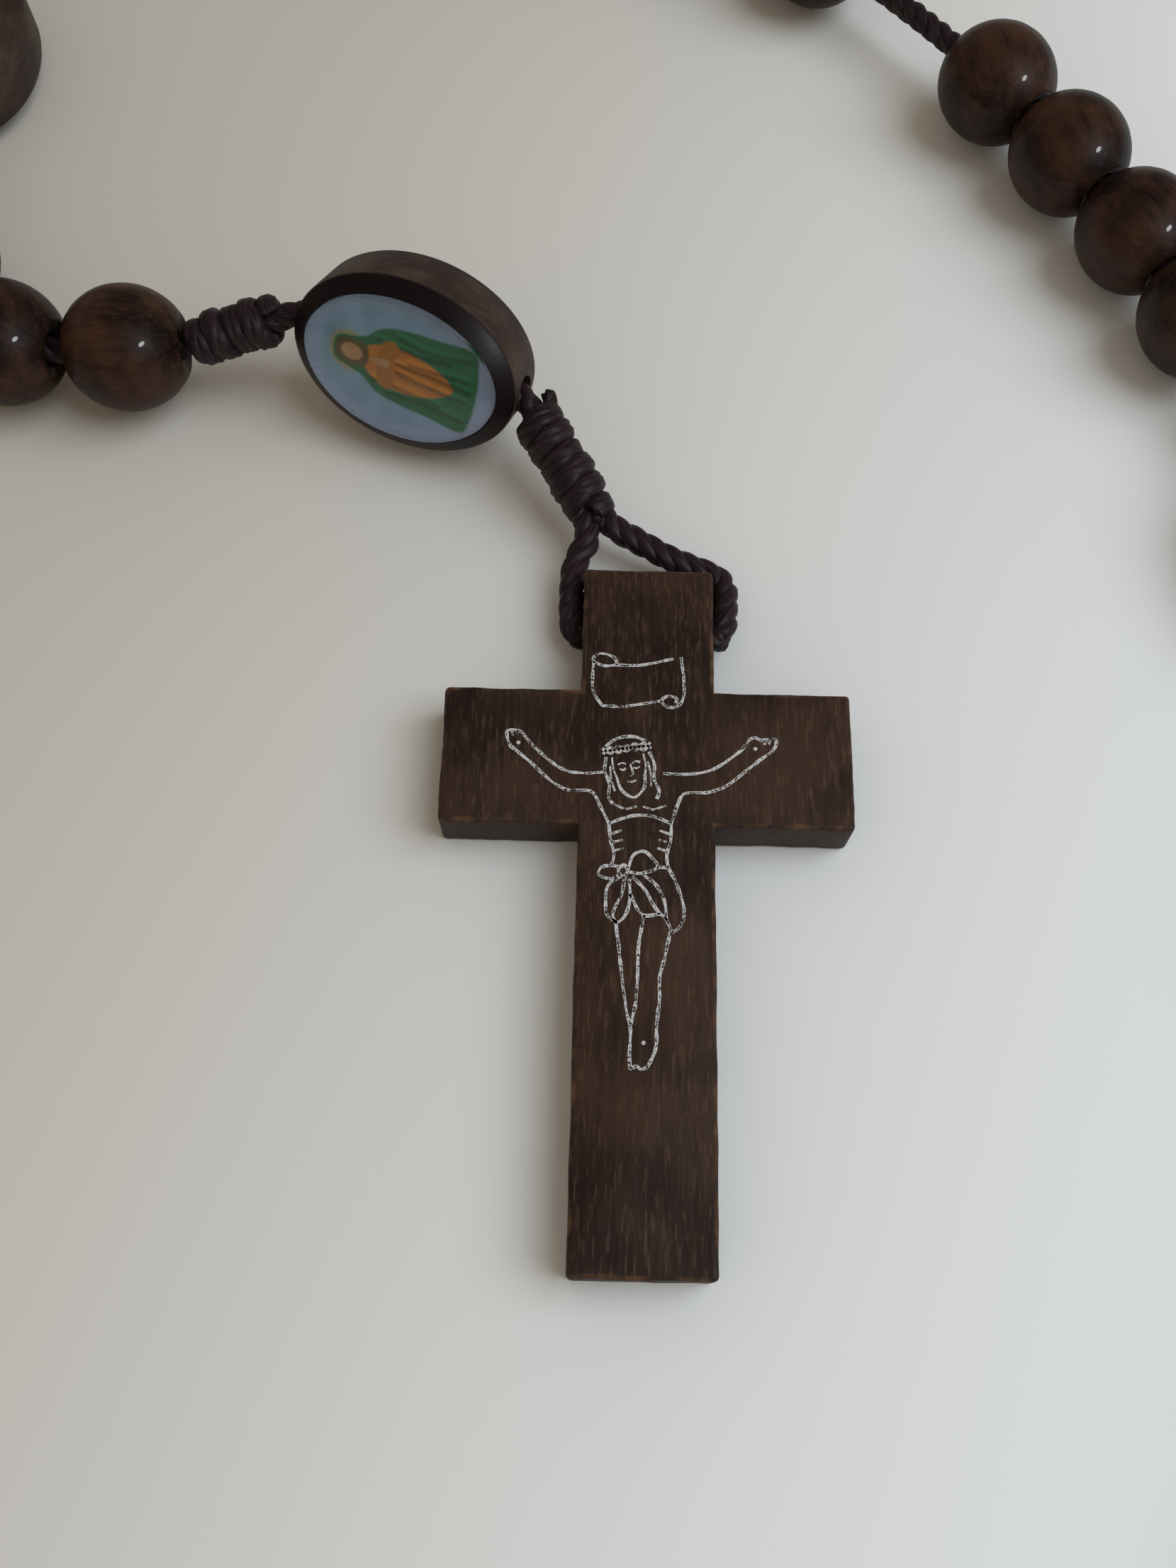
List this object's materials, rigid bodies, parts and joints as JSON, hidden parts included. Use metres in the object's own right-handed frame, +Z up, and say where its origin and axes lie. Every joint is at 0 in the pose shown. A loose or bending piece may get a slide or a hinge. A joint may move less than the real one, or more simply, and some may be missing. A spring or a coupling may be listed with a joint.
{
  "type": "rosary",
  "caption": "Wooden rosary: round beads and oval picture beads strung on a knotted twisted cord, with a wooden cross that swings on its cord loop.",
  "frame": {"origin": "middle of the crossing of the cross, on its flat back face", "axes": "+Z up from the table that it lies on, +Y up the stem of the cross, +X along its arms"},
  "size_m": [0.1909, 0.1868, 0.0109],
  "materials": {
    "cross_wood": "matt stained wood with worn edges",
    "bead_wood": "dark stained wood, glossy varnish",
    "cord": "twisted cord with a soft gloss",
    "print": "printed picture",
    "dome": "clear gloss resin"
  },
  "bodies": {
    "cord": {"cross_loop": "cord", "pendant_cord": "cord", "ring_cord": "cord", "loop_knot": "cord", "pendant_knot": "cord", "upper_pendant_knot": "cord", "junction_knot": "cord", "ring_knot_1": "cord", "ring_knot_2": "cord", "ring_knot_3": "cord", "ring_knot_4": "cord", "ring_knot_5": "cord", "ring_knot_6": "cord", "ring_knot_7": "cord", "ring_knot_8": "cord", "ring_knot_9": "cord", "ring_knot_10": "cord"},
    "crucifix": {"crucifix": "cross_wood"},
    "pendant_oval": {"pendant_oval": "bead_wood", "pendant_oval_picture": "print", "pendant_oval_dome": "dome"},
    "centre_oval": {"centre_oval": "bead_wood", "centre_oval_picture": "print", "centre_oval_dome": "dome"},
    "ring_oval_1": {"ring_oval_1": "bead_wood", "ring_oval_1_picture": "print", "ring_oval_1_dome": "dome"},
    "ring_oval_2": {"ring_oval_2": "bead_wood", "ring_oval_2_picture": "print", "ring_oval_2_dome": "dome"},
    "ring_oval_3": {"ring_oval_3": "bead_wood", "ring_oval_3_picture": "print", "ring_oval_3_dome": "dome"},
    "ring_oval_4": {"ring_oval_4": "bead_wood", "ring_oval_4_picture": "print", "ring_oval_4_dome": "dome"},
    "pendant_bead_1": {"pendant_bead_1": "bead_wood"},
    "pendant_bead_2": {"pendant_bead_2": "bead_wood"},
    "pendant_bead_3": {"pendant_bead_3": "bead_wood"},
    "decade_1_bead_1": {"decade_1_bead_1": "bead_wood"},
    "decade_1_bead_2": {"decade_1_bead_2": "bead_wood"},
    "decade_1_bead_3": {"decade_1_bead_3": "bead_wood"},
    "decade_1_bead_4": {"decade_1_bead_4": "bead_wood"},
    "decade_1_bead_5": {"decade_1_bead_5": "bead_wood"},
    "decade_1_bead_6": {"decade_1_bead_6": "bead_wood"},
    "decade_1_bead_7": {"decade_1_bead_7": "bead_wood"},
    "decade_1_bead_8": {"decade_1_bead_8": "bead_wood"},
    "decade_1_bead_9": {"decade_1_bead_9": "bead_wood"},
    "decade_1_bead_10": {"decade_1_bead_10": "bead_wood"},
    "decade_2_beads": {"decade_2_beads": "bead_wood"},
    "decade_3_beads": {"decade_3_beads": "bead_wood"},
    "decade_4_beads": {"decade_4_beads": "bead_wood"},
    "decade_5_beads": {"decade_5_beads": "bead_wood"}
  },
  "joints": [
    {"name": "crucifix_swing", "type": "hinge", "parent": "cord", "child": "crucifix", "pos_m": [0, 0.0081, 0.00175], "axis": [-1, 0, 0], "range_deg": [-140, 140]},
    {"name": "pendant_oval_spin", "type": "hinge", "parent": "cord", "child": "pendant_oval", "pos_m": [-0.0143, 0.02499, 0.00545], "axis": [-0.9349, 0.3458, 0.0802], "continuous": true},
    {"name": "centre_oval_spin", "type": "hinge", "parent": "cord", "child": "centre_oval", "pos_m": [-0.04776, 0.05171, 0.0029], "axis": [-0.1045, 0.9945, 0], "continuous": true},
    {"name": "ring_oval_1_spin", "type": "hinge", "parent": "cord", "child": "ring_oval_1", "pos_m": [0.04001, 0.01352, 0.004], "axis": [0.2292, -0.9734, 0], "continuous": true},
    {"name": "ring_oval_2_spin", "type": "hinge", "parent": "cord", "child": "ring_oval_2", "pos_m": [0.00221, -0.08327, 0.004], "axis": [-0.8282, -0.5604, 0], "continuous": true},
    {"name": "ring_oval_3_spin", "type": "hinge", "parent": "cord", "child": "ring_oval_3", "pos_m": [-0.10169, -0.08236, 0.004], "axis": [-0.8183, 0.5748, 0], "continuous": true},
    {"name": "ring_oval_4_spin", "type": "hinge", "parent": "cord", "child": "ring_oval_4", "pos_m": [-0.1378, 0.01507, 0.004], "axis": [0.2462, 0.9692, 0], "continuous": true},
    {"name": "pendant_bead_1_spin", "type": "hinge", "parent": "cord", "child": "pendant_bead_1", "pos_m": [-0.03218, 0.02598, 0.004], "axis": [-0.9945, -0.1045, 0], "continuous": true},
    {"name": "pendant_bead_2_spin", "type": "hinge", "parent": "cord", "child": "pendant_bead_2", "pos_m": [-0.03991, 0.02619, 0.004], "axis": [-0.9877, 0.1564, 0], "continuous": true},
    {"name": "pendant_bead_3_spin", "type": "hinge", "parent": "cord", "child": "pendant_bead_3", "pos_m": [-0.04516, 0.03254, 0.004], "axis": [0.0349, 0.9994, 0], "continuous": true},
    {"name": "decade_1_bead_1_spin", "type": "hinge", "parent": "cord", "child": "decade_1_bead_1", "pos_m": [-0.01984, 0.07928, 0.004], "axis": [0.9476, -0.3194, 0], "continuous": true},
    {"name": "decade_1_bead_2_spin", "type": "hinge", "parent": "cord", "child": "decade_1_bead_2", "pos_m": [-0.01303, 0.07667, 0.004], "axis": [0.9191, -0.3939, 0], "continuous": true},
    {"name": "decade_1_bead_3_spin", "type": "hinge", "parent": "cord", "child": "decade_1_bead_3", "pos_m": [-0.00644, 0.07353, 0.004], "axis": [0.8848, -0.4659, 0], "continuous": true},
    {"name": "decade_1_bead_4_spin", "type": "hinge", "parent": "cord", "child": "decade_1_bead_4", "pos_m": [-0.00012, 0.06988, 0.004], "axis": [0.8449, -0.5349, 0], "continuous": true},
    {"name": "decade_1_bead_5_spin", "type": "hinge", "parent": "cord", "child": "decade_1_bead_5", "pos_m": [0.00589, 0.06573, 0.004], "axis": [0.7996, -0.6005, 0], "continuous": true},
    {"name": "decade_1_bead_7_spin", "type": "hinge", "parent": "cord", "child": "decade_1_bead_7", "pos_m": [0.02304, 0.0489, 0.004], "axis": [0.6158, -0.7879, 0], "continuous": true},
    {"name": "decade_1_bead_8_spin", "type": "hinge", "parent": "cord", "child": "decade_1_bead_8", "pos_m": [0.0273, 0.04298, 0.004], "axis": [0.551, -0.8345, 0], "continuous": true},
    {"name": "decade_1_bead_9_spin", "type": "hinge", "parent": "cord", "child": "decade_1_bead_9", "pos_m": [0.03108, 0.03673, 0.004], "axis": [0.4828, -0.8757, 0], "continuous": true},
    {"name": "decade_1_bead_10_spin", "type": "hinge", "parent": "cord", "child": "decade_1_bead_10", "pos_m": [0.03434, 0.03021, 0.004], "axis": [0.4115, -0.9114, 0], "continuous": true},
    {"name": "decade_1_bead_6_slide", "type": "hinge", "parent": "cord", "child": "decade_1_bead_6", "pos_m": [-0.04908, -0.00746, 0.004], "axis": [0, 0, -1], "range_deg": [0, 5.95]},
    {"name": "decade_2_beads_slide", "type": "hinge", "parent": "cord", "child": "decade_2_beads", "pos_m": [-0.04908, -0.00746, 0.004], "axis": [0, 0, -1], "range_deg": [0, 5.95]},
    {"name": "decade_3_beads_slide", "type": "hinge", "parent": "cord", "child": "decade_3_beads", "pos_m": [-0.04908, -0.00746, 0.004], "axis": [0, 0, -1], "range_deg": [0, 5.95]},
    {"name": "decade_4_beads_slide", "type": "hinge", "parent": "cord", "child": "decade_4_beads", "pos_m": [-0.04908, -0.00746, 0.004], "axis": [0, 0, -1], "range_deg": [0, 5.95]},
    {"name": "decade_5_beads_slide", "type": "hinge", "parent": "cord", "child": "decade_5_beads", "pos_m": [-0.04908, -0.00746, 0.004], "axis": [0, 0, -1], "range_deg": [0, 5.95]}
  ]
}
